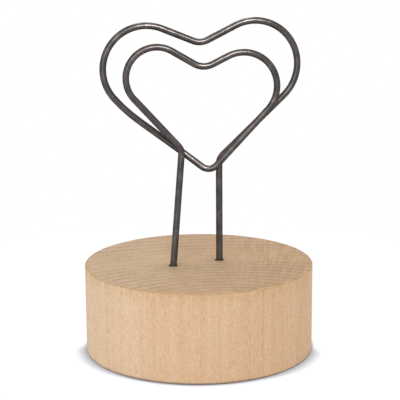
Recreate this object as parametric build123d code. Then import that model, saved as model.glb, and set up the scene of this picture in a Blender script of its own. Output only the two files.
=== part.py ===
from build123d import *
import math
import os

# Photo holder: a round wooden block and one steel wire, bent into two hearts that grip a photo between them.
# Millimetres. The origin is the middle of the block's underside, +Z is up and the front is towards -Y.

# Wooden block, sawn across the grain
BLOCK_DIAMETER = 65.0
BLOCK_THICKNESS = 25.0
BLOCK_EDGE_CHAMFER = 0.3

# Wire, and the two blind holes that its legs are glued into
WIRE_DIAMETER = 1.9
HOLE_CLEARANCE = 0.2
HOLE_DEPTH = 12.0
DRILL_POINT_ANGLE = 118.0
GLUE_BELOW_MOUTH = 2.0

# Clear width between the small heart in front and the large heart behind
PHOTO_SLOT = 0.5

# Left leg: it leans out of its hole, from a slight bend below the hole's mouth
LEFT_HOLE_X = -7.7
LEFT_HOLE_Y = -2.7
LEG_BEND_DEPTH = 1.2
LEG_BEND_RADIUS = 8.0

# Right leg: it stands straight under the right shoulder
RIGHT_LEG_X = 6.2

# Tip that the two hearts share, at a height above the block
TIP_X = 3.2
TIP_HEIGHT = 26.2
TIP_RADIUS = 3.1

# Bends of the clip. X is across, HEIGHT is above the tip, RADIUS is that of the wire's centreline.
LEFT_SHOULDER_X = -4.7
LEFT_SHOULDER_HEIGHT = 6.8
RIGHT_SHOULDER_HEIGHT = 3.5
SHOULDER_RADIUS = 3.4

SMALL_LEFT_LOBE_X = -11.5
SMALL_LEFT_LOBE_HEIGHT = 27.0
SMALL_LEFT_LOBE_RADIUS = 8.5
SMALL_DIP_X = 1.5
SMALL_DIP_HEIGHT = 29.2
SMALL_DIP_RADIUS = 5.4
SMALL_RIGHT_LOBE_X = 12.7
SMALL_RIGHT_LOBE_HEIGHT = 24.0
SMALL_RIGHT_LOBE_RADIUS = 9.6

# The wire steps back from the tip, and a bend ends the step this far before the wire passes the left leg
STEP_LEAD = 0.8
STEP_BEND_RADIUS = 5.0

# A wide arc leads from the left arm of the large heart into its left lobe
LARGE_CHEEK_RADIUS = 46.0
LARGE_CHEEK_TURN = 12.0
LARGE_LEFT_LOBE_X = -14.1
LARGE_LEFT_LOBE_HEIGHT = 29.2
LARGE_LEFT_LOBE_RADIUS = 12.0
LARGE_DIP_X = 0.9
LARGE_DIP_HEIGHT = 36.1
LARGE_DIP_RADIUS = 3.3
LARGE_RIGHT_LOBE_X = 16.3
LARGE_RIGHT_LOBE_HEIGHT = 29.9
LARGE_RIGHT_LOBE_RADIUS = 12.2

# Worked out from the sizes above
WIRE_RADIUS = WIRE_DIAMETER / 2
HOLE_RADIUS = WIRE_RADIUS + HOLE_CLEARANCE
HOLE_BOTTOM = BLOCK_THICKNESS - HOLE_DEPTH
REAR_Y = (WIRE_DIAMETER + PHOTO_SLOT) / 2
FRONT_Y = -REAR_Y
LEFT_HOLE = (LEFT_HOLE_X, LEFT_HOLE_Y)
RIGHT_HOLE = (RIGHT_LEG_X, REAR_Y)

# Spacing of the points on which the wire's gap to itself is measured, and how much wire between two points
# makes them neighbours along one bend
GAP_STEP = 0.5
GAP_NEIGHBOURS = 12.0


def hole_filling(place, top):
    """Solid that fills a drilled hole from its pointed bottom up to a level."""
    point_depth = HOLE_RADIUS / math.tan(math.radians(DRILL_POINT_ANGLE / 2))
    outline = Polyline(
        (0, HOLE_BOTTOM - point_depth),
        (HOLE_RADIUS, HOLE_BOTTOM),
        (HOLE_RADIUS, top),
        (0, top),
        close=True,
    )
    return Pos(*place, 0) * revolve(make_face(Plane.XZ * outline), Axis.Z)


def wooden_block():
    """Disc with broken edges and the two drilled holes."""
    disc = extrude(Circle(BLOCK_DIAMETER / 2), BLOCK_THICKNESS)
    disc = chamfer(disc.edges(), BLOCK_EDGE_CHAMFER)
    for place in (LEFT_HOLE, RIGHT_HOLE):
        disc -= hole_filling(place, BLOCK_THICKNESS)
    return disc


def above_tip(x, height, y):
    """Point of the clip at a height above the hearts' tip."""
    return Vector(x, y, BLOCK_THICKNESS + TIP_HEIGHT + height)


def direction(angle):
    """Unit vector at an angle in the plane of a heart, seen from the front."""
    return Vector(math.cos(angle), 0, math.sin(angle))


def touch_angle(point, centre, radius, side):
    """Angle round a circle where the line from a point touches it.

    Side is 1 where a clockwise arc starts from that line, and -1 where it ends on it.
    """
    away = centre - point
    return math.atan2(away.Z, away.X) + side * (math.asin(radius / away.length) + math.pi / 2)


def clockwise_arc(centre, radius, start, end):
    """Start, middle and end of the arc that goes clockwise from one angle to another."""
    turn = (start - end) % (2 * math.pi)
    return [centre + direction(start - share * turn) * radius for share in (0, 0.5, 1)]


def lobe(before, centre, radius, after):
    """Arc over a lobe, between the straight runs from the point before it and to the point after it."""
    start = touch_angle(before, centre, radius, 1)
    end = touch_angle(after, centre, radius, -1)
    return clockwise_arc(centre, radius, start, end)


def cheeked_lobe(before, centre, radius, after):
    """Wide arc that the straight run from the point before runs into, and the arc over the lobe that follows."""
    turn = math.radians(LARGE_CHEEK_TURN)
    wider = LARGE_CHEEK_RADIUS - radius
    run_distance = radius + wider * (1 - math.cos(turn))
    start = touch_angle(before, centre, run_distance, 1)
    change = start - turn
    end = touch_angle(after, centre, radius, -1)
    cheek = clockwise_arc(centre - direction(change) * wider, LARGE_CHEEK_RADIUS, start, change)
    return cheek, clockwise_arc(centre, radius, change, end)


def corner(before, at, after, radius):
    """Start, middle and end of the arc that rounds a corner between two straight runs."""
    run_in = (at - before).normalized()
    run_out = (after - at).normalized()
    half_turn = math.radians(run_in.get_angle(run_out) / 2)
    inward = (run_out - run_in).normalized()
    reach = radius * math.tan(half_turn)
    middle = at + inward * (radius / math.cos(half_turn) - radius)
    return [at - run_in * reach, middle, at + run_out * reach]


def step_end(tip, arm, shoulder, foot):
    """Point on the large heart's left arm, short of where the arm passes behind the left leg."""
    along_arm = (arm - tip).normalized()
    along_leg = shoulder - foot
    apart = shoulder - tip
    crossing = (apart.X * along_leg.Z - apart.Z * along_leg.X) / (
        along_arm.X * along_leg.Z - along_arm.Z * along_leg.X
    )
    return tip + along_arm * (crossing - STEP_LEAD)


def clip_path():
    """Centreline of the wire, from the end of its left leg to the end of its right leg."""
    left_end = Vector(*LEFT_HOLE, HOLE_BOTTOM)
    left_foot = Vector(*LEFT_HOLE, BLOCK_THICKNESS - LEG_BEND_DEPTH)
    left_shoulder = above_tip(LEFT_SHOULDER_X, LEFT_SHOULDER_HEIGHT, FRONT_Y)
    right_shoulder = above_tip(RIGHT_LEG_X, RIGHT_SHOULDER_HEIGHT, REAR_Y)
    right_end = Vector(*RIGHT_HOLE, HOLE_BOTTOM)
    tip = above_tip(TIP_X, 0, FRONT_Y)
    tip_behind = above_tip(TIP_X, 0, REAR_Y)

    small_dip = above_tip(SMALL_DIP_X, SMALL_DIP_HEIGHT, FRONT_Y)
    small_left_centre = above_tip(SMALL_LEFT_LOBE_X, SMALL_LEFT_LOBE_HEIGHT, FRONT_Y)
    small_right_centre = above_tip(SMALL_RIGHT_LOBE_X, SMALL_RIGHT_LOBE_HEIGHT, FRONT_Y)
    small_left = lobe(left_shoulder, small_left_centre, SMALL_LEFT_LOBE_RADIUS, small_dip)
    small_right = lobe(small_dip, small_right_centre, SMALL_RIGHT_LOBE_RADIUS, tip)

    large_dip = above_tip(LARGE_DIP_X, LARGE_DIP_HEIGHT, REAR_Y)
    large_left_centre = above_tip(LARGE_LEFT_LOBE_X, LARGE_LEFT_LOBE_HEIGHT, REAR_Y)
    large_right_centre = above_tip(LARGE_RIGHT_LOBE_X, LARGE_RIGHT_LOBE_HEIGHT, REAR_Y)
    cheek, large_left = cheeked_lobe(tip_behind, large_left_centre, LARGE_LEFT_LOBE_RADIUS, large_dip)
    large_right = lobe(large_dip, large_right_centre, LARGE_RIGHT_LOBE_RADIUS, right_shoulder)
    step = step_end(tip_behind, cheek[0], left_shoulder, left_foot)

    bends = [
        corner(left_end, left_foot, left_shoulder, LEG_BEND_RADIUS),
        corner(left_foot, left_shoulder, small_left[0], SHOULDER_RADIUS),
        small_left,
        corner(small_left[-1], small_dip, small_right[0], SMALL_DIP_RADIUS),
        small_right,
        corner(small_right[-1], tip, step, TIP_RADIUS),
        corner(tip, step, cheek[0], STEP_BEND_RADIUS),
        [*cheek, *large_left[1:]],
        corner(large_left[-1], large_dip, large_right[0], LARGE_DIP_RADIUS),
        large_right,
        corner(large_right[-1], right_shoulder, right_end, SHOULDER_RADIUS),
    ]
    edges = []
    reached = left_end
    for bend in bends:
        edges.append(Line(reached, bend[0]))
        for first in range(0, len(bend) - 1, 2):
            edges.append(ThreePointArc(*bend[first:first + 3]))
        reached = bend[-1]
    edges.append(Line(reached, right_end))
    return Wire(edges)


def wire_clip(path):
    """Round wire along the clip's centreline."""
    section = Plane(path @ 0, z_dir=path % 0) * Circle(WIRE_RADIUS)
    return sweep(section, path=path)


def least_gap(path):
    """Least clear distance between stretches of the wire that aren't neighbours."""
    count = int(path.length / GAP_STEP)
    points = [path @ (index / count) for index in range(count + 1)]
    skip = int(GAP_NEIGHBOURS / GAP_STEP)
    pairs = ((a, b) for index, a in enumerate(points) for b in points[index + skip:])
    return min((a - b).length for a, b in pairs) - WIRE_DIAMETER


def glue_plug(place, clip):
    """Cured glue round the end of a leg, up to a little below the hole's mouth."""
    return hole_filling(place, BLOCK_THICKNESS - GLUE_BELOW_MOUTH) - clip


path = clip_path()
clip = wire_clip(path)
nodes = {
    "wooden_block": wooden_block(),
    "wire_clip": clip,
    "left_glue_plug": glue_plug(LEFT_HOLE, clip),
    "right_glue_plug": glue_plug(RIGHT_HOLE, clip),
}

os.makedirs("parts", exist_ok=True)
for name, solid in nodes.items():
    export_step(solid, f"parts/{name}.step")

expected_volume = path.length * math.pi * WIRE_RADIUS**2
print(f"Wire: {path.length:.1f} mm long, volume {clip.volume:.1f} of {expected_volume:.1f} mm3")
print(f"Wire: least gap to itself {least_gap(path):.2f} mm")
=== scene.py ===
import math
from functools import reduce

import bmesh
import bpy
from mathutils import Matrix, Vector, noise


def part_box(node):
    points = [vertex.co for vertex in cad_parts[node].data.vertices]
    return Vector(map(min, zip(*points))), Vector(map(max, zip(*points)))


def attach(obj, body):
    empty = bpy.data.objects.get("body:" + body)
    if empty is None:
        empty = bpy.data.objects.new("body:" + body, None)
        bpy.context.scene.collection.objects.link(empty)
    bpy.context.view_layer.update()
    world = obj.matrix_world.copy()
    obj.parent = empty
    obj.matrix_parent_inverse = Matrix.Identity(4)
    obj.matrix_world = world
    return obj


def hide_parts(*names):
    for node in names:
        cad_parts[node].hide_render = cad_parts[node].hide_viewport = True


# Photo holder: a round block of pale wood, and in it one dark steel wire that is bent into two hearts.
# Sizes are in millimetres and angles in degrees. Meshes are in metres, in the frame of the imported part.

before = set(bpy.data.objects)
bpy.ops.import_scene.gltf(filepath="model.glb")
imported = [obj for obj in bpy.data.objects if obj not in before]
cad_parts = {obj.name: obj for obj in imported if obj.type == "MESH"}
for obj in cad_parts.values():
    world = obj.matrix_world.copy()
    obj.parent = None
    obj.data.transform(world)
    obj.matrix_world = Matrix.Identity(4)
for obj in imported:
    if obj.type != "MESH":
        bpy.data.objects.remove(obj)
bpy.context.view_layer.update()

MM = 0.001
BODY = "root"

# Block: points round it, and the width and height of its edges, which the saw left chipped
BLOCK_SEGMENTS = 720
SIDE_STEPS = 8
EDGE_STEPS = 5
TOP_EDGE = (0.30, 0.22)
UNDER_EDGE = (0.25, 0.35)
RIM_STRIP = 0.6
CHIP_WIDTH = 0.30
CHIP_HEIGHT = 0.55
CHIP_TAPER = 1.5
CHIP_LENGTH = 1.7
CHIP_FINENESS = 3.1
FINE_CHIP_SHARE = 0.4
TOP_SEED = 3.0
UNDER_SEED = 11.0

# Drilled holes, with frayed mouths
HOLE_SEGMENTS = 64
HOLE_DEPTH = 12.0
MOUTH_BREAK = 0.10
MOUTH_FRAY = 0.05
FRAY_FINENESS = 3.0

# Glue, whose surface climbs at the wire and at the wood
GLUE_SEGMENTS = 48
GLUE_STEPS = 10
GLUE_CREEP = 0.18

# Wire mesh: dents of the surface, and the section that flattens where the wire is bent
WIRE_SIDES = 28
WIRE_STEP = 0.6
ARC_STEP = 5.0
WIRE_DENT = 0.005
WIRE_DENT_LENGTH = 2.4
BEND_FLATTENING = 0.12

# Wire and the bends of the clip, as in the part, but with a rounder dip in the large heart.
# X is across, HEIGHT is above the hearts' tip, RADIUS is that of the wire's centreline.
WIRE_DIAMETER = 1.9
PHOTO_SLOT = 0.5
LEG_BEND_DEPTH = 1.2
LEG_BEND_RADIUS = 8.0
TIP_X = 3.2
TIP_HEIGHT = 26.2
TIP_RADIUS = 3.1
LEFT_SHOULDER_X = -4.7
LEFT_SHOULDER_HEIGHT = 6.8
RIGHT_SHOULDER_HEIGHT = 3.5
SHOULDER_RADIUS = 3.4
SMALL_LEFT_LOBE_X = -11.5
SMALL_LEFT_LOBE_HEIGHT = 27.0
SMALL_LEFT_LOBE_RADIUS = 8.5
SMALL_DIP_X = 1.5
SMALL_DIP_HEIGHT = 29.2
SMALL_DIP_RADIUS = 5.4
SMALL_RIGHT_LOBE_X = 12.7
SMALL_RIGHT_LOBE_HEIGHT = 24.0
SMALL_RIGHT_LOBE_RADIUS = 9.6
STEP_LEAD = 0.8
STEP_BEND_RADIUS = 5.0
LARGE_CHEEK_RADIUS = 46.0
LARGE_CHEEK_TURN = 12.0
LARGE_LEFT_LOBE_X = -14.1
LARGE_LEFT_LOBE_HEIGHT = 29.2
LARGE_LEFT_LOBE_RADIUS = 12.0
LARGE_DIP_X = 1.1
LARGE_DIP_HEIGHT = 35.95
LARGE_DIP_RADIUS = 5.0
LARGE_RIGHT_LOBE_X = 16.3
LARGE_RIGHT_LOBE_HEIGHT = 29.9
LARGE_RIGHT_LOBE_RADIUS = 12.2

# Growth of the wood: oval rings round a pith in front of the block, wider after one of them.
# Here and below, four numbers that aren't a colour are two limits of a measure and what each limit gives.
PITH = (0.0, -40.0, 0.0)
RING_STRETCH = 1.4
RING_START = 14.1
RING_WIDTH = 2.84
RING_CHANGE = 39.7
LATER_RING_WIDTH = 3.75
RING_SHARPNESS = 4.5
FAINT_RINGS = (37.0, 43.0, 1.0, 0.3)
CLEAR_RINGS = (50.0, 56.0, 0.0, 0.6)
RING_PATCH_SIZE = (12.0, 12.0, 200.0)
RING_PATCHES = (0.35, 0.65, 0.5, 1.0)
WANDER = 0.45
WANDER_SIZE = (16.0, 16.0, 160.0)

# Patterns that make the wood paler or darker: their sizes along the axes, and their weights.
# Rays show most in the end grain on the right, and streaks below the upper edge.
RAY_SIZE = (0.46, 10.0, 2.2)
RAY_LIMITS = (0.42, 0.66)
RAY_RIGHT = (6.0, 24.0)
SPECKLE_SIZE = (0.55, 0.55, 0.60)
END_SPECKLE_SIZE = 1.05
STREAK_SIZE = (0.6, 0.6, 40.0)
BAND_SIZE = (4.0, 4.0, 80.0)
SIDE_RING_WEIGHT = -0.12
RAY_WEIGHT = 0.05
END_RAY_WEIGHT = 0.22
SPECKLE_WEIGHT = 0.70
END_SPECKLE_WEIGHT = 0.42
STREAK_WEIGHTS = (0.0, 4.0, 0.60, 0.24)
BAND_WEIGHT = 0.36
WOOD_TONE = 0.5
WOOD_DARK = (0.595, 0.360, 0.185, 1)
WOOD_MIDDLE = (0.720, 0.512, 0.340, 1)
WOOD_PALE = (0.835, 0.650, 0.475, 1)

# Surface of the wood
END_GRAIN_SLOPES = (0.3, 0.9)
WOOD_ROUGHNESS = (0.2, 0.8, 0.66, 0.54)
WOOD_SPECULAR = 0.12
WOOD_RELIEF = 0.04
RING_RELIEF = 0.3
STREAK_RELIEF = 0.6
SPECKLE_RELIEF = 1.0

# Tints of the wood: end grain is darker, partly by its own tone and partly as painted shade on the top, and
# most so in its rings. The wood is paler outside one ring on the left, redder to the front and right, darker
# still on the end grain towards the front right, and blushed in patches.
END_GRAIN_AND_SHADE_TINT = (0.766, 0.740, 0.688)
END_RING_TINT = (0.62, 0.575, 0.53)
PALE_RING = 20.1
PALE_RING_BLUR = 0.15
PALE_SIDE = (-4.0, -12.0)
PALE_TINT = (1.04, 1.085, 1.12)
RED_WAY = (0.75, -0.65, 0.0)
RED_REACH = (-25.0, 30.0)
RED_TINT = (0.98, 0.95, 0.89)
END_DARKER_REACH = (18.0, 32.0)
END_DARKER_TINT = (0.94, 0.92, 0.91)
BLUSH_SIZE = (3.0, 3.0, 8.0)
BLUSH_LIMITS = (0.38, 0.62)
BLUSH_TINT = (1.0, 0.972, 0.99)

# Marks on the side: a warm tone below the upper edge, and flecks
WARM_DEPTH = (0.0, 5.0)
WARM_TINT = (0.935, 0.93, 0.905)
FLECK_SIZE = (0.40, 0.40, 1.5)
FLECKS = (0.60, 0.70, 0.0, 0.55)

# Marks of the saw at the upper edge: burnt and torn in places, rubbed pale in others, shaded on top
BURNT_SIZE = 2.3
BURNT_LIMITS = (0.40, 0.58)
BURNT_DEPTH = (0.4, 2.2)
BURNT_TINT = (0.975, 0.945, 0.87)
RUBBED_TINT = (1.03, 1.03, 1.01)
EDGE_INSET = (0.3, 1.1)
EDGE_TINT = (0.905, 0.895, 0.885)
TORN_INSET = 1.6
TORN_DROP = 0.28
TORN_SIZE = (0.9, 0.9, 4.0)
TORN_REACH = (0.36, 0.66, 0.35, 1.35)
TORN_LIMITS = (0.5, 1.0)
TORN_FRONT = (12.0, -8.0, 0.2, 1.0)
TORN_BURNT = (0.0, 1.0, 0.3, 1.0)
TORN_COLOUR = (0.58, 0.37, 0.185, 1)

# Other marks: painted light round the legs, against the shade they cast, dark rims at the holes, painted
# shade at the lower edge
# Painted light: the top is made paler round the legs, against the shade they cast
LEG_PAINTED_LIGHT_REACH = (5.0, 18.0)
LEG_PAINTED_LIGHT_TINT = (1.06, 1.08, 1.065)
MOUTH_DARK_WIDTH = 0.35
MOUTH_DARK_COLOUR = (0.060, 0.035, 0.020, 1)
# Painted shade: a dark band along the lower edge of the wood, strongest at the front
LOWER_EDGE_SHADE_HEIGHTS = (0.25, 0.75)
LOWER_EDGE_SHADE_FRONT = (0.55, 1.0, 0.35, 1.0)
LOWER_EDGE_SHADE_COLOUR = (0.30, 0.225, 0.165, 1)

# Wire finish: lines along the wire, patches, specks and one dull scuff. The legs mirror brown wood at their
# feet, so their colour is painted paler and less brown there, as painted light against that reflection.
STREAK_TURNS = 7.0
STREAK_LENGTH = 12.0
PATCH_SIZE = 2.6
SPECK_SIZE = 0.35
SPECK_LIMITS = (0.70, 0.76)
WIRE_TONE = 0.5
WIRE_STREAK_WEIGHT = 0.8
PATCH_WEIGHT = 1.2
WIRE_DARK = (0.041, 0.0375, 0.0365, 1)
WIRE_MIDDLE = (0.086, 0.0768, 0.0735, 1)
WIRE_PALE = (0.170, 0.146, 0.138, 1)
SPECK_COLOUR = (0.30, 0.28, 0.265, 1)
FOOT_PAINTED_LIGHT_HEIGHTS = (2.0, 9.0)
FOOT_PAINTED_LIGHT_TINT = (1.30, 1.46, 1.54)
WIRE_METALLIC = 0.75
WIRE_SPECULAR = 0.0
WIRE_EDGE_TINT = (0.30, 0.28, 0.27, 1)
WIRE_ROUGHNESS = (0.35, 0.65, 0.28, 0.18)
WIRE_RELIEF = 0.002
SCUFF_PLACE = (-1.0, 0.0, 54.3)
SCUFF_ROUGHNESS = (2.5, 4.5, 0.36, 0.0)

# Glue finish
GLUE_CLOUD_SIZE = 0.5
GLUE_DARK = (0.30, 0.19, 0.07, 1)
GLUE_PALE = (0.55, 0.40, 0.19, 1)
GLUE_ROUGHNESS = (0.2, 0.8, 0.22, 0.40)
GLUE_RELIEF = 0.03

# Camera: it stands in front of the block, and the view is turned about the block's axis
VIEW_TURN = -8.0
CAMERA_PLACE = (0.494, -351.24, 122.41)
CAMERA_PITCH = 12.721
CAMERA_ROLL = -0.392
CAMERA_LENS = 114.357
SENSOR_WIDTH = 36.0

# Lamps: azimuth from the camera, elevation, distance, width, watts, and whether matt surfaces are lit by it
LAMPS = {
    "glint_lamp": (16.0, 36.0, 220.0, 100.0, 0.56, False),
    "sheen_lamp": (-12.0, 10.0, 400.0, 300.0, 0.30, False),
    "fill_lamp": (-15.0, 25.0, 400.0, 260.0, 0.35, True),
    "rear_lamp": (190.0, 58.0, 220.0, 100.0, 0.28, False),
}
LAMP_TARGET = (0.0, 0.0, 70.0)
AMBIENT = 0.93

# Floor: white, with a soft dark line of painted shade where the block meets it, and no shade far from the
# block
FLOOR_RADIUS = 500.0
FLOOR_SEGMENTS = 96
FLOOR_WHITE = (0.80, 0.80, 0.80, 1)
FLOOR_SHADED = (0.16, 0.162, 0.205, 1)
CONTACT_WAY = (-0.205, -0.979, 0.0)
CONTACT_SHADE_REACH = (0.0, 0.22, 1.2, 5.0)
CONTACT_SHADE_FRONT = (0.55, 1.0, 1.0, 0.40)
CONTACT_SHADE_GLOW = (0.30, 0.94, 0.0, 0.88)
WHITE_DISTANCE = (90.0, 150.0)

# Worked out from the frame and the sizes above
block_low, block_high = (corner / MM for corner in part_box("wooden_block"))
block_radius = (block_high.x - block_low.x) / 2
block_top = block_high.z
wire_radius = WIRE_DIAMETER / 2
rear_y = (WIRE_DIAMETER + PHOTO_SLOT) / 2


class Hole:
    """Drilled hole, as the box of the glue plug in it gives it."""

    def __init__(self, plug):
        low, high = (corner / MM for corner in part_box(plug))
        self.plug = plug
        self.x = (low.x + high.x) / 2
        self.y = (low.y + high.y) / 2
        self.radius = (high.x - low.x) / 2
        self.point = low.z
        self.bottom = block_top - HOLE_DEPTH
        self.glue_top = high.z


left_hole = Hole("left_glue_plug")
right_hole = Hole("right_glue_plug")


class Shader:
    """Node tree of a material or world, with short calls that add nodes and link them."""

    def __init__(self, owner):
        owner.use_nodes = True
        self.tree = owner.node_tree
        self.tree.nodes.clear()

    def node(self, kind, inputs=(), **settings):
        """New node. Inputs are values or sockets, by place or by name."""
        made = self.tree.nodes.new("ShaderNode" + kind)
        for name, value in settings.items():
            setattr(made, name, value)
        for key, value in inputs.items() if isinstance(inputs, dict) else enumerate(inputs):
            if isinstance(value, bpy.types.NodeSocket):
                self.tree.links.new(value, made.inputs[key])
            else:
                made.inputs[key].default_value = value
        return made

    def add(self, kind, inputs=(), output=0, **settings):
        """One output of a new node."""
        return self.node(kind, inputs, **settings).outputs[output]

    def math(self, operation, *values):
        return self.add("Math", values, operation=operation)

    def product(self, first, second):
        return self.math("MULTIPLY", first, second)

    def rest(self, share):
        """What a share leaves of one."""
        return self.math("SUBTRACT", 1.0, share)

    def vector(self, operation, *values):
        return self.add("VectorMath", values, operation=operation)

    def measure(self, operation, *values):
        """Number that an operation on vectors gives."""
        return self.add("VectorMath", values, "Value", operation=operation)

    def parts(self, vector):
        """X, Y and Z of a vector."""
        return tuple(self.node("SeparateXYZ", (vector,)).outputs)

    def place(self):
        """Place on the part, in millimetres."""
        return self.vector("MULTIPLY", self.add("TexCoord", output="Object"), (1 / MM,) * 3)

    def noise(self, place, size, detail=0.0, output="Fac"):
        """Noise with features of a size, which may differ by axis."""
        sizes = size if isinstance(size, tuple) else (size,) * 3
        fitted = self.vector("DIVIDE", place, sizes)
        return self.add("TexNoise", {"Vector": fitted, "Scale": 1.0, "Detail": detail}, output)

    def eased(self, value, low, high, start=0.0, end=1.0):
        """Runs from start to end while the value goes from low to high."""
        limits = (value, low, high, start, end)
        return self.add("MapRange", limits, interpolation_type="SMOOTHSTEP")

    def fading(self, value, low, high):
        """Runs from one to zero while the value goes from low to high."""
        return self.eased(value, low, high, 1.0, 0.0)

    def mixed(self, share, first, second):
        """Colour between two colours, which are inputs 6 and 7 of the node and come out at 2."""
        return self.add("Mix", {0: share, 6: first, 7: second}, 2, data_type="RGBA")

    def tinted(self, colour, share, tint):
        """Colour with a share of it multiplied by a tint."""
        return self.mixed(share, colour, self.vector("MULTIPLY", colour, tint))

    def ramp(self, value, *colours):
        """Colour at a value from 0 to 1, between evenly spaced colours."""
        made = self.node("ValToRGB", (value,))
        elements = made.color_ramp.elements
        while len(elements) < len(colours):
            elements.new(0.5)
        for index, colour in enumerate(colours):
            elements[index].position = index / (len(colours) - 1)
            elements[index].color = colour
        return made.outputs[0]

    def sum_of(self, start, *weighted):
        """Start value plus each pattern's departure from one half, times its weight."""
        total = start
        for pattern, weight in weighted:
            departure = self.math("SUBTRACT", pattern, 0.5)
            total = self.math("MULTIPLY_ADD", departure, weight, total)
        return total

    def bump(self, height, depth):
        return self.add("Bump", {"Height": height, "Distance": depth * MM})

    def frontward(self, place):
        """How far to the front a place lies, in radii of the block."""
        return self.math("DIVIDE", self.measure("DOT_PRODUCT", place, CONTACT_WAY), block_radius)

    def eye(self):
        """One for rays from the camera and those that metal or glass sends on, zero for other light."""
        path = self.node("LightPath").outputs
        seen = self.math("MAXIMUM", path["Is Camera Ray"], path["Is Glossy Ray"])
        return self.math("MAXIMUM", seen, path["Is Transmission Ray"])

    def surface(self, shader):
        self.node("OutputMaterial", {"Surface": shader})


class Wood(Shader):
    """Solid wood: its patterns run through the block, so its top shows end grain and its side long grain."""

    def __init__(self, owner):
        super().__init__(owner)
        self.at = self.place()
        self.x, self.y, self.height = self.parts(self.at)
        self.depth = self.math("SUBTRACT", block_top, self.height)
        self.flat = self.vector("MULTIPLY", self.at, (1, 1, 0))
        self.inset = self.math("SUBTRACT", block_radius, self.measure("LENGTH", self.flat))
        slope = self.parts(self.add("NewGeometry", output="Normal"))[2]
        self.end_grain = self.eased(self.math("ABSOLUTE", slope), *END_GRAIN_SLOPES)
        self.side = self.rest(self.end_grain)
        self.radius, self.across_rays = self.growth()
        self.ring = self.late_wood()
        self.speckle = self.noise(self.at, SPECKLE_SIZE, detail=1.0)
        self.streaks = self.noise(self.at, STREAK_SIZE, detail=1.0)
        self.tone = self.grain_tone()
        self.colour = self.ramp(self.tone, WOOD_DARK, WOOD_MIDDLE, WOOD_PALE)

    def growth(self):
        """Distance from the pith, which wanders a little, and place across the rays that fan out from it."""
        wander = self.noise(self.at, WANDER_SIZE, detail=2.0, output="Color")
        wander = self.vector("MULTIPLY_ADD", wander, (WANDER,) * 3, (-WANDER / 2,) * 3)
        grown = self.vector("ADD", self.vector("SUBTRACT", self.at, PITH), wander)
        rounded = self.vector("MULTIPLY", grown, (1 / RING_STRETCH, 1, 0))
        across, out, _ = self.parts(grown)
        fanned = self.math("POWER", self.math("DIVIDE", out, -PITH[1]), -1 / RING_STRETCH**2)
        return self.measure("LENGTH", rounded), self.product(across, fanned)

    def late_wood(self):
        """Dark end of each growth ring, clearer in some rings and places than in others."""
        early = self.math("SUBTRACT", self.math("MINIMUM", self.radius, RING_CHANGE), RING_START)
        later = self.math("MAXIMUM", self.math("SUBTRACT", self.radius, RING_CHANGE), 0.0)
        count = self.math("DIVIDE", early, RING_WIDTH)
        count = self.math("MULTIPLY_ADD", later, 1 / LATER_RING_WIDTH, count)
        late = self.math("POWER", self.math("FRACT", count), RING_SHARPNESS)
        faint = self.eased(self.radius, *FAINT_RINGS)
        vigour = self.math("ADD", faint, self.eased(self.radius, *CLEAR_RINGS))
        patchy = self.eased(self.noise(self.at, RING_PATCH_SIZE, detail=2.0), *RING_PATCHES)
        return self.product(late, self.product(vigour, patchy))

    def grain_tone(self):
        """How pale the wood is, from 0 to 1, by its rings, rays, speckle, streaks and bands."""
        ray_place = self.add("CombineXYZ", (self.across_rays, self.radius, self.height))
        rays = self.eased(self.noise(ray_place, RAY_SIZE), *RAY_LIMITS)
        ray_weight = self.product(self.eased(self.x, *RAY_RIGHT), END_RAY_WEIGHT)
        side_rings = self.product(self.ring, self.side)
        end_speckle = self.noise(self.at, END_SPECKLE_SIZE, detail=1.0)
        return self.sum_of(
            self.math("MULTIPLY_ADD", side_rings, SIDE_RING_WEIGHT, WOOD_TONE),
            (rays, self.math("MULTIPLY_ADD", ray_weight, self.end_grain, RAY_WEIGHT)),
            (self.speckle, SPECKLE_WEIGHT),
            (end_speckle, self.product(self.end_grain, END_SPECKLE_WEIGHT)),
            (self.streaks, self.eased(self.depth, *STREAK_WEIGHTS)),
            (self.noise(self.at, BAND_SIZE, detail=2.0), BAND_WEIGHT),
        )

    def tint(self, tint, *shares):
        """Multiplies the colour so far by a tint, to the extent of the shares' product."""
        self.colour = self.tinted(self.colour, reduce(self.product, shares), tint)

    def paint(self, colour, *shares):
        """Covers the colour so far with another, to the extent of the shares' product."""
        self.colour = self.mixed(reduce(self.product, shares), self.colour, colour)

    def tint_grain(self):
        """Tones of the wood, and on the end grain a share of painted shade."""
        # Partly painted shade: the top is darkened beyond the end grain's own tone
        self.tint(END_GRAIN_AND_SHADE_TINT, self.end_grain)
        self.tint(END_RING_TINT, self.ring, self.end_grain)
        outside = self.eased(self.radius, PALE_RING - PALE_RING_BLUR, PALE_RING + PALE_RING_BLUR)
        self.tint(PALE_TINT, outside, self.eased(self.x, *PALE_SIDE))
        redward = self.measure("DOT_PRODUCT", self.at, RED_WAY)
        self.tint(RED_TINT, self.eased(redward, *RED_REACH))
        # End grain darker towards the front right
        self.tint(END_DARKER_TINT, self.eased(redward, *END_DARKER_REACH), self.end_grain)
        self.tint(BLUSH_TINT, self.eased(self.noise(self.at, BLUSH_SIZE, detail=2.0), *BLUSH_LIMITS))

    def mark_side(self):
        """Warm tone below the upper edge, and flecks."""
        self.tint(WARM_TINT, self.fading(self.depth, *WARM_DEPTH), self.side)
        self.paint(TORN_COLOUR, self.eased(self.noise(self.at, FLECK_SIZE, detail=1.0), *FLECKS), self.side)

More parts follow.
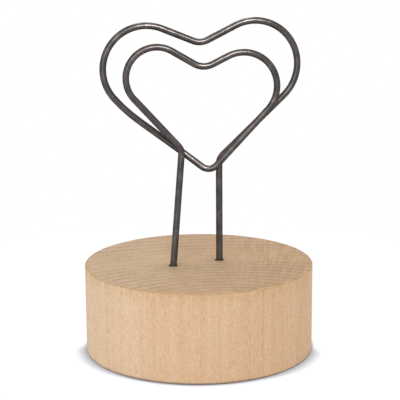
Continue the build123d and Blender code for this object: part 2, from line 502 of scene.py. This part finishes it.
    def mark_upper_edge(self):
        """Burnt and rubbed places below the edge, a shaded strip on top, and torn grain on both sides."""
        burnt = self.eased(self.noise(self.at, BURNT_SIZE, detail=1.0), *BURNT_LIMITS)
        below = self.product(self.fading(self.depth, *BURNT_DEPTH), self.side)
        self.tint(BURNT_TINT, below, burnt)
        self.tint(RUBBED_TINT, below, self.rest(burnt))
        self.tint(EDGE_TINT, self.fading(self.inset, *EDGE_INSET), self.end_grain)
        self.paint(TORN_COLOUR, self.torn_share(), self.eased(burnt, *TORN_BURNT))

    def torn_share(self):
        """Strip along the upper edge with a ragged border, strongest at the front."""
        inward = self.math("DIVIDE", self.inset, TORN_INSET)
        downward = self.math("DIVIDE", self.depth, TORN_DROP)
        reach = self.eased(self.noise(self.at, TORN_SIZE, detail=1.0), *TORN_REACH)
        from_edge = self.math("DIVIDE", self.math("MAXIMUM", inward, downward), reach)
        return self.product(self.fading(from_edge, *TORN_LIMITS), self.eased(self.y, *TORN_FRONT))

    def mark_holes(self, holes):
        """Painted light round the legs, against the shade they cast, and dark rims at the mouths of their
        holes.
        """
        gaps = [self.measure("DISTANCE", self.flat, (hole.x, hole.y, 0)) for hole in holes]
        from_hole = self.math("MINIMUM", *gaps)
        # Painted light round the legs, against their shade
        self.tint(LEG_PAINTED_LIGHT_TINT, self.fading(from_hole, *LEG_PAINTED_LIGHT_REACH), self.end_grain)
        mouth = holes[0].radius
        # Dark rim round the mouth of each hole
        self.paint(MOUTH_DARK_COLOUR, self.fading(from_hole, mouth, mouth + MOUTH_DARK_WIDTH))

    def shade_lower_edge(self):
        """Painted shade along the lower edge, strongest at the front."""
        front = self.eased(self.frontward(self.at), *LOWER_EDGE_SHADE_FRONT)
        self.paint(LOWER_EDGE_SHADE_COLOUR, self.fading(self.height, *LOWER_EDGE_SHADE_HEIGHTS), front)

    def relief(self):
        """Height of the surface's fine relief."""
        rings = self.product(self.ring, RING_RELIEF)
        return self.sum_of(rings, (self.streaks, STREAK_RELIEF), (self.speckle, SPECKLE_RELIEF))


def wood_material(holes):
    """Sawn pale wood with the marks of the saw and the drill, and some painted light and shade."""
    material = bpy.data.materials.new("pale_wood")
    wood = Wood(material)
    wood.tint_grain()
    wood.mark_side()
    wood.mark_upper_edge()
    wood.mark_holes(holes)
    wood.shade_lower_edge()
    principled = {
        "Base Color": wood.colour,
        "Roughness": wood.eased(wood.tone, *WOOD_ROUGHNESS),
        "Specular IOR Level": WOOD_SPECULAR,
        "Normal": wood.bump(wood.relief(), WOOD_RELIEF),
    }
    wood.surface(wood.add("BsdfPrincipled", principled))
    return material


def wire_material():
    """Drawn and annealed steel: dark and satin, with lines along the wire, patches and pale specks."""
    material = bpy.data.materials.new("dark_wire")
    shader = Shader(material)
    place = shader.place()
    drawn = shader.add("Attribute", output="Vector", attribute_name="drawn")
    streaks = shader.noise(drawn, (1 / STREAK_TURNS, 1 / STREAK_TURNS, STREAK_LENGTH), detail=1.0)
    patches = shader.noise(place, PATCH_SIZE, detail=3.0)
    specks = shader.eased(shader.noise(place, SPECK_SIZE, detail=1.0), *SPECK_LIMITS)
    tone = shader.sum_of(WIRE_TONE, (streaks, WIRE_STREAK_WEIGHT), (patches, PATCH_WEIGHT))
    colour = shader.ramp(tone, WIRE_DARK, WIRE_MIDDLE, WIRE_PALE)
    # Painted light: the feet are made paler and bluer against the brown wood they mirror
    above_block = shader.math("SUBTRACT", shader.parts(place)[2], block_top)
    colour = shader.tinted(colour, shader.fading(above_block, *FOOT_PAINTED_LIGHT_HEIGHTS), FOOT_PAINTED_LIGHT_TINT)
    polished = shader.eased(patches, *WIRE_ROUGHNESS)
    scuffed = shader.eased(shader.measure("DISTANCE", place, SCUFF_PLACE), *SCUFF_ROUGHNESS)
    principled = {
        "Base Color": shader.mixed(specks, colour, SPECK_COLOUR),
        "Metallic": WIRE_METALLIC,
        "Roughness": shader.math("MAXIMUM", polished, scuffed),
        "Specular IOR Level": WIRE_SPECULAR,
        "Specular Tint": WIRE_EDGE_TINT,
        "Normal": shader.bump(patches, WIRE_RELIEF),
    }
    shader.surface(shader.add("BsdfPrincipled", principled))
    return material


def glue_material():
    """Amber glue, set hard, with cloudy patches."""
    material = bpy.data.materials.new("cured_glue")
    shader = Shader(material)
    cloud = shader.noise(shader.place(), GLUE_CLOUD_SIZE, detail=2.0)
    principled = {
        "Base Color": shader.ramp(cloud, GLUE_DARK, GLUE_PALE),
        "Roughness": shader.eased(cloud, *GLUE_ROUGHNESS),
        "Normal": shader.bump(cloud, GLUE_RELIEF),
    }
    shader.surface(shader.add("BsdfPrincipled", principled))
    return material


def floor_material():
    """White floor that shows white to the eye, keeps the shadow of what stands on it, and has painted shade
    near the block.
    """
    material = bpy.data.materials.new("white_floor")
    shader = Shader(material)
    place = shader.place()
    eye = shader.eye()
    lit = shader.add("BsdfDiffuse", (shader.mixed(eye, FLOOR_WHITE, FLOOR_SHADED),))
    way = shader.frontward(place)
    reach = shader.product(shader.eased(way, *CONTACT_SHADE_REACH), shader.eased(way, *CONTACT_SHADE_FRONT))
    # Painted shade: the floor's glow dims where the block hems it in
    open_share = shader.add("AmbientOcclusion", {"Distance": shader.product(reach, MM)}, "AO")
    clear = shader.add("MapRange", (open_share, *CONTACT_SHADE_GLOW))
    glow = shader.add("Emission", {"Strength": shader.product(eye, clear)})
    near = shader.add("AddShader", (lit, glow))
    far = shader.product(shader.eased(shader.measure("LENGTH", place), *WHITE_DISTANCE), eye)
    white = shader.add("Emission", {"Strength": 1.0})
    shader.surface(shader.add("MixShader", (far, near, white)))
    return material


def light_world():
    """Soft light from all round, which the eye sees as white."""
    world = bpy.data.worlds.new("studio")
    shader = Shader(world)
    strength = shader.math("MAXIMUM", shader.eye(), AMBIENT)
    background = shader.add("Background", {"Color": (1, 1, 1, 1), "Strength": strength})
    shader.node("OutputWorld", {"Surface": background})
    bpy.context.scene.world = world


def add_object(name, mesh, material):
    """Smooth object in the scene, made of a mesh in millimetres that is being edited."""
    bmesh.ops.scale(mesh, vec=(MM,) * 3, verts=mesh.verts)
    bmesh.ops.recalc_face_normals(mesh, faces=mesh.faces)
    data = bpy.data.meshes.new(name)
    mesh.to_mesh(data)
    mesh.free()
    data.shade_smooth()
    data.materials.append(material)
    made = bpy.data.objects.new(name, data)
    bpy.context.scene.collection.objects.link(made)
    return made


def stand_for(piece, node):
    """Puts a piece in the place of a node of the part."""
    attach(piece, BODY)
    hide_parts(node)


def add_ring(mesh, points):
    return [mesh.verts.new(point) for point in points]


def bridge(mesh, first, second):
    """Band of faces between two rings of as many points."""
    for index in range(len(first)):
        after = (index + 1) % len(first)
        mesh.faces.new((first[index], first[after], second[after], second[index]))


def skin(mesh, rings):
    """Bands of faces from each ring to the next."""
    for first, second in zip(rings, rings[1:]):
        bridge(mesh, first, second)


def fan(mesh, ring, point):
    """Faces from a ring to one point."""
    centre = mesh.verts.new(point)
    for index in range(len(ring)):
        mesh.faces.new((ring[index], ring[(index + 1) % len(ring)], centre))


def loop_edges(mesh, ring):
    return [mesh.edges.get((ring[index - 1], ring[index])) for index in range(len(ring))]


def circle(segments):
    """Angles of evenly spaced points round a circle."""
    return [2 * math.pi * index / segments for index in range(segments)]


def at_angle(angle, radius, z, x=0.0, y=0.0):
    """Point at an angle round a vertical axis."""
    return Vector((x + radius * math.cos(angle), y + radius * math.sin(angle), z))


def chip(angle, seed):
    """How deep the sawn edge is chipped at an angle round the block, from 0 up to about 1."""
    place = at_angle(angle, block_radius / CHIP_LENGTH, seed)
    broad = noise.noise(place)
    fine = noise.noise(place * CHIP_FINENESS)
    return max(0.0, broad + FINE_CHIP_SHARE * fine)


def edge_size(angle, edge, seed):
    """Width and height of the broken edge at an angle."""
    depth = chip(angle, seed)
    return edge[0] + CHIP_WIDTH * depth, edge[1] + CHIP_HEIGHT * depth**CHIP_TAPER


def block_rings():
    """Rings of points up the block, from the edge of its underside to a strip inside the edge of its top."""
    angles = circle(BLOCK_SEGMENTS)
    lower = [edge_size(angle, UNDER_EDGE, UNDER_SEED) for angle in angles]
    upper = [edge_size(angle, TOP_EDGE, TOP_SEED) for angle in angles]
    quarter = [math.pi / 2 * step / EDGE_STEPS for step in range(EDGE_STEPS + 1)]
    rings = []
    for turn in reversed(quarter):
        inset = 1 - math.cos(turn)
        lift = 1 - math.sin(turn)
        rings.append([at_angle(a, block_radius - w * inset, h * lift) for a, (w, h) in zip(angles, lower)])
    for step in range(1, SIDE_STEPS):
        share = step / SIDE_STEPS
        heights = [low + share * (block_top - high - low) for (_, low), (_, high) in zip(lower, upper)]
        rings.append([at_angle(a, block_radius, z) for a, z in zip(angles, heights)])
    for turn in quarter:
        inset = 1 - math.cos(turn)
        drop = 1 - math.sin(turn)
        rings.append(
            [at_angle(a, block_radius - w * inset, block_top - h * drop) for a, (w, h) in zip(angles, upper)]
        )
    rings.append([at_angle(a, block_radius - RIM_STRIP, block_top) for a in angles])
    return rings


def hole_rings(hole):
    """Rings of points down a drilled hole, from its frayed mouth to the start of the drill point."""
    angles = circle(HOLE_SEGMENTS)
    frays = [MOUTH_FRAY * noise.noise(at_angle(a, FRAY_FINENESS, hole.x)) for a in angles]
    frayed = [hole.radius + MOUTH_BREAK + fray for fray in frays]
    mouth = [at_angle(a, radius, block_top, hole.x, hole.y) for a, radius in zip(angles, frayed)]
    heights = (block_top - MOUTH_BREAK, block_top - 2 * MOUTH_BREAK, hole.bottom)
    walls = [[at_angle(a, hole.radius, z, hole.x, hole.y) for a in angles] for z in heights]
    return [mouth, *walls]


def add_block(holes, material):
    """Sawn disc with chipped edges and two drilled holes."""
    mesh = bmesh.new()
    rings = [add_ring(mesh, points) for points in block_rings()]
    skin(mesh, rings)
    fan(mesh, rings[0], (0, 0, 0))
    rims = loop_edges(mesh, rings[-1])
    for hole in holes:
        down = [add_ring(mesh, points) for points in hole_rings(hole)]
        skin(mesh, down)
        fan(mesh, down[-1], (hole.x, hole.y, hole.point))
        rims += loop_edges(mesh, down[0])
    bmesh.ops.triangle_fill(mesh, edges=rims, use_beauty=True, normal=(0, 0, 1))
    stand_for(add_object("turned_block", mesh, material), "wooden_block")


def above_tip(x, height, y):
    """Point of the clip at a height above the hearts' tip."""
    return Vector((x, y, block_top + TIP_HEIGHT + height))


def direction(angle):
    """Unit vector at an angle in the plane of a heart, seen from the front."""
    return Vector((math.cos(angle), 0, math.sin(angle)))


def touch_angle(point, centre, radius, side):
    """Angle round a circle where the line from a point touches it.

    Side is 1 where a clockwise arc starts from that line, and -1 where it ends on it.
    """
    away = centre - point
    return math.atan2(away.z, away.x) + side * (math.asin(radius / away.length) + math.pi / 2)


def clockwise_arc(centre, radius, start, end):
    """Start, middle and end of the arc that goes clockwise from one angle to another."""
    turn = (start - end) % (2 * math.pi)
    return [centre + direction(start - share * turn) * radius for share in (0, 0.5, 1)]


def lobe(before, centre, radius, after):
    """Arc over a lobe, between the straight runs from the point before it and to the point after it."""
    start = touch_angle(before, centre, radius, 1)
    end = touch_angle(after, centre, radius, -1)
    return clockwise_arc(centre, radius, start, end)


def cheeked_lobe(before, centre, radius, after):
    """Wide arc that the run from the point before leads into, and the arc over the lobe that follows."""
    turn = math.radians(LARGE_CHEEK_TURN)
    wider = LARGE_CHEEK_RADIUS - radius
    start = touch_angle(before, centre, radius + wider * (1 - math.cos(turn)), 1)
    change = start - turn
    end = touch_angle(after, centre, radius, -1)
    cheek = clockwise_arc(centre - direction(change) * wider, LARGE_CHEEK_RADIUS, start, change)
    return cheek, clockwise_arc(centre, radius, change, end)


def corner(before, at, after, radius):
    """Start, middle and end of the arc that rounds a corner between two straight runs."""
    run_in = (at - before).normalized()
    run_out = (after - at).normalized()
    half_turn = run_in.angle(run_out) / 2
    inward = (run_out - run_in).normalized()
    reach = radius * math.tan(half_turn)
    middle = at + inward * (radius / math.cos(half_turn) - radius)
    return [at - run_in * reach, middle, at + run_out * reach]


def step_end(tip, arm, shoulder, foot):
    """Point on the large heart's left arm, short of where the arm passes behind the left leg."""
    along_arm = (arm - tip).normalized()
    along_leg = shoulder - foot
    apart = shoulder - tip
    crossing = (apart.x * along_leg.z - apart.z * along_leg.x) / (
        along_arm.x * along_leg.z - along_arm.z * along_leg.x
    )
    return tip + along_arm * (crossing - STEP_LEAD)


def small_heart(shoulder, tip):
    """Bends of the heart in front, from the left shoulder to the tip: left lobe, dip and right lobe."""
    dip = above_tip(SMALL_DIP_X, SMALL_DIP_HEIGHT, -rear_y)
    left_centre = above_tip(SMALL_LEFT_LOBE_X, SMALL_LEFT_LOBE_HEIGHT, -rear_y)
    right_centre = above_tip(SMALL_RIGHT_LOBE_X, SMALL_RIGHT_LOBE_HEIGHT, -rear_y)
    left = lobe(shoulder, left_centre, SMALL_LEFT_LOBE_RADIUS, dip)
    right = lobe(dip, right_centre, SMALL_RIGHT_LOBE_RADIUS, tip)
    return [left, corner(left[-1], dip, right[0], SMALL_DIP_RADIUS), right]


def large_heart(tip, shoulder):
    """Bends of the rear heart, from the tip to the right shoulder: cheek and left lobe, dip, right lobe."""
    dip = above_tip(LARGE_DIP_X, LARGE_DIP_HEIGHT, rear_y)
    left_centre = above_tip(LARGE_LEFT_LOBE_X, LARGE_LEFT_LOBE_HEIGHT, rear_y)
    right_centre = above_tip(LARGE_RIGHT_LOBE_X, LARGE_RIGHT_LOBE_HEIGHT, rear_y)
    cheek, left = cheeked_lobe(tip, left_centre, LARGE_LEFT_LOBE_RADIUS, dip)
    right = lobe(dip, right_centre, LARGE_RIGHT_LOBE_RADIUS, shoulder)
    return [[*cheek, *left[1:]], corner(left[-1], dip, right[0], LARGE_DIP_RADIUS), right]


def clip_bends():
    """Ends of the wire and the bends between them. A bend is start, middle and end of one arc, or of two."""
    left_end = Vector((left_hole.x, left_hole.y, left_hole.bottom))
    left_foot = Vector((left_hole.x, left_hole.y, block_top - LEG_BEND_DEPTH))
    left_shoulder = above_tip(LEFT_SHOULDER_X, LEFT_SHOULDER_HEIGHT, -rear_y)
    right_shoulder = above_tip(right_hole.x, RIGHT_SHOULDER_HEIGHT, rear_y)
    right_end = Vector((right_hole.x, right_hole.y, right_hole.bottom))
    tip = above_tip(TIP_X, 0, -rear_y)
    tip_behind = above_tip(TIP_X, 0, rear_y)
    small = small_heart(left_shoulder, tip)
    large = large_heart(tip_behind, right_shoulder)
    arm = large[0][0]
    step = step_end(tip_behind, arm, left_shoulder, left_foot)
    bends = [
        corner(left_end, left_foot, left_shoulder, LEG_BEND_RADIUS),
        corner(left_foot, left_shoulder, small[0][0], SHOULDER_RADIUS),
        *small,
        corner(small[-1][-1], tip, step, TIP_RADIUS),
        corner(tip, step, arm, STEP_BEND_RADIUS),
        *large,
        corner(large[-1][-1], right_shoulder, right_end, SHOULDER_RADIUS),
    ]
    return left_end, bends, right_end


def line_points(start, end):
    """Evenly spaced points from start up to, and without, the end."""
    count = math.ceil((end - start).length / WIRE_STEP)
    return [start.lerp(end, index / count) for index in range(count)]


def arc_points(start, middle, end):
    """Evenly spaced points along the arc through three points, without its end."""
    half_chord = (end - start) / 2
    rise = middle - (start + half_chord)
    radius = (half_chord.length_squared + rise.length_squared) / (2 * rise.length)
    out = rise.normalized()
    along = half_chord.normalized()
    centre = middle - out * radius
    half_turn = math.acos((radius - rise.length) / radius)
    count = math.ceil(2 * half_turn / math.radians(ARC_STEP))
    turns = [half_turn * (2 * index / count - 1) for index in range(count)]
    return [centre + (out * math.cos(turn) + along * math.sin(turn)) * radius for turn in turns]


def clip_points():
    """Points along the middle of the wire, from the end of its left leg to the end of its right leg."""
    reached, bends, end = clip_bends()
    points = []
    for bend in bends:
        points += line_points(reached, bend[0])
        for first in range(0, len(bend) - 1, 2):
            points += arc_points(*bend[first:first + 3])
        reached = bend[-1]
    return [*points, *line_points(reached, end), end]


def wire_stations(points):
    """Point, heading, normal, bend and distance along the wire, for each of its points."""
    headings = [(b - a).normalized() for a, b in zip(points, points[1:])]
    heading = headings[0]
    normal = heading.orthogonal().normalized()
    distance = 0.0
    for index, point in enumerate(points):
        before = headings[max(0, index - 1)]
        after = headings[min(index, len(headings) - 1)]
        distance += (point - points[index - 1]).length if index else 0.0
        middle = (before + after).normalized()
        normal = heading.rotation_difference(middle) @ normal
        heading = middle
        yield point, heading, normal, (after - before) / WIRE_STEP, distance


def wire_section(sides, heading, normal, bend, distance):
    """Offsets of the points round the wire: a circle with slight dents, flattened across a bend."""
    binormal = heading.cross(normal)
    squeeze = min(1.0, bend.length * wire_radius) * BEND_FLATTENING
    inward = bend.normalized()
    sideways = heading.cross(inward)
    offsets = []
    for angle in sides:
        turned_out = normal * math.cos(angle) + binormal * math.sin(angle)
        dent = noise.noise(at_angle(angle, 1.0, distance / WIRE_DENT_LENGTH))
        offset = turned_out * (wire_radius + WIRE_DENT * (dent - 1) / 2)
        offset -= inward * (offset.dot(inward) * squeeze)
        offset += sideways * (offset.dot(sideways) * squeeze / 2)
        offsets.append(offset)
    return offsets


def add_wire(material):
    """Round wire along the clip. Each point keeps its angle round the wire and its distance along it."""
    points = clip_points()
    sides = circle(WIRE_SIDES)
    mesh = bmesh.new()
    drawn = mesh.verts.layers.float_vector.new("drawn")
    rings = []
    for point, heading, normal, bend, distance in wire_stations(points):
        offsets = wire_section(sides, heading, normal, bend, distance)
        ring = add_ring(mesh, [point + offset for offset in offsets])
        for vertex, angle in zip(ring, sides):
            vertex[drawn] = at_angle(angle, 1.0, distance)
        rings.append(ring)
    skin(mesh, rings)
    fan(mesh, rings[0], points[0])
    fan(mesh, rings[-1], points[-1])
    stand_for(add_object("bent_wire", mesh, material), "wire_clip")


def glue_profile(hole):
    """Radius and height of the glue's outline: up the wall, over the hollow surface and down the wire."""
    profile = [(hole.radius, hole.bottom)]
    for step in range(GLUE_STEPS + 1):
        share = step / GLUE_STEPS
        sag = GLUE_CREEP * (1 - (2 * share - 1) ** 2)
        profile.append((hole.radius + share * (wire_radius - hole.radius), hole.glue_top - sag))
    return [*profile, (wire_radius, hole.bottom)]


def add_glue(hole, material):
    """Glue round the end of a leg, from the drill point up to its hollow surface."""
    mesh = bmesh.new()
    angles = circle(GLUE_SEGMENTS)
    outline = glue_profile(hole)
    rings = [add_ring(mesh, [at_angle(a, r, z, hole.x, hole.y) for a in angles]) for r, z in outline]
    skin(mesh, rings)
    fan(mesh, rings[0], (hole.x, hole.y, hole.point))
    fan(mesh, rings[-1], (hole.x, hole.y, hole.bottom))
    piece = add_object(hole.plug.replace("plug", "fill"), mesh, material)
    stand_for(piece, hole.plug)


def add_floor():
    """Round floor under the block."""
    mesh = bmesh.new()
    edge = add_ring(mesh, [at_angle(a, FLOOR_RADIUS, 0) for a in circle(FLOOR_SEGMENTS)])
    fan(mesh, edge, (0, 0, 0))
    add_object("floor", mesh, floor_material())


def turned(angle, axis):
    return Matrix.Rotation(math.radians(angle), 4, axis)


def add_lamps():
    """Square soft lamps round the view, all turned to the middle of the object."""
    target = Matrix.Translation(Vector(LAMP_TARGET) * MM)
    for name, (azimuth, elevation, distance, width, watts, diffuse) in LAMPS.items():
        light = bpy.data.lights.new(name, "AREA")
        light.size = width * MM
        light.energy = watts
        lamp = bpy.data.objects.new(name, light)
        lamp.visible_diffuse = diffuse
        around = turned(VIEW_TURN + azimuth, "Z") @ turned(90 - elevation, "X")
        lamp.matrix_world = target @ around @ Matrix.Translation((0, 0, distance * MM))
        bpy.context.scene.collection.objects.link(lamp)


def add_camera():
    """Camera of the main view."""
    data = bpy.data.cameras.new("camera")
    data.lens = CAMERA_LENS
    data.sensor_width = SENSOR_WIDTH
    camera = bpy.data.objects.new("camera", data)
    stand = turned(VIEW_TURN, "Z") @ Matrix.Translation(Vector(CAMERA_PLACE) * MM)
    camera.matrix_world = stand @ turned(90 - CAMERA_PITCH, "X") @ turned(CAMERA_ROLL, "Z")
    bpy.context.scene.collection.objects.link(camera)
    bpy.context.scene.camera = camera


holes = (left_hole, right_hole)
add_block(holes, wood_material(holes))
add_wire(wire_material())
glue = glue_material()
for hole in holes:
    add_glue(hole, glue)
add_floor()
light_world()
add_lamps()
add_camera()
bpy.context.scene.view_settings.view_transform = "Standard"
